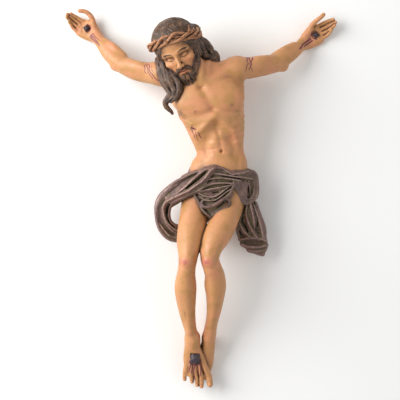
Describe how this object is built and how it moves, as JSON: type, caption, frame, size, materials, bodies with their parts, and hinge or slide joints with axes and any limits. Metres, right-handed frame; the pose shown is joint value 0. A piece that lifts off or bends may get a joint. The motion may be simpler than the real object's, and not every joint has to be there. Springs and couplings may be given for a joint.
{
  "type": "crucifix corpus figure",
  "caption": "Carved and painted wooden corpus for a crucifix, lying on its planed back, with a twisted crown of thorns and iron nails through the hands and feet.",
  "frame": {"origin": "on the face of the cross, under the middle of the figure's box", "axes": "+Z from the planed back to the front, +Y to the head, +X to the figure's own left hand"},
  "size_m": [0.6032, 0.8388, 0.1816],
  "materials": {
    "painted_limewood": "limewood, painted and waxed, satin",
    "thorn_branches": "bare twisted branches, matt",
    "forged_iron": "hammered and darkened"
  },
  "bodies": {
    "root": {"corpus": "painted_limewood", "crown_of_thorns": "thorn_branches", "nail_right_hand": "forged_iron", "nail_left_hand": "forged_iron", "nail_feet": "forged_iron"}
  },
  "joints": []
}
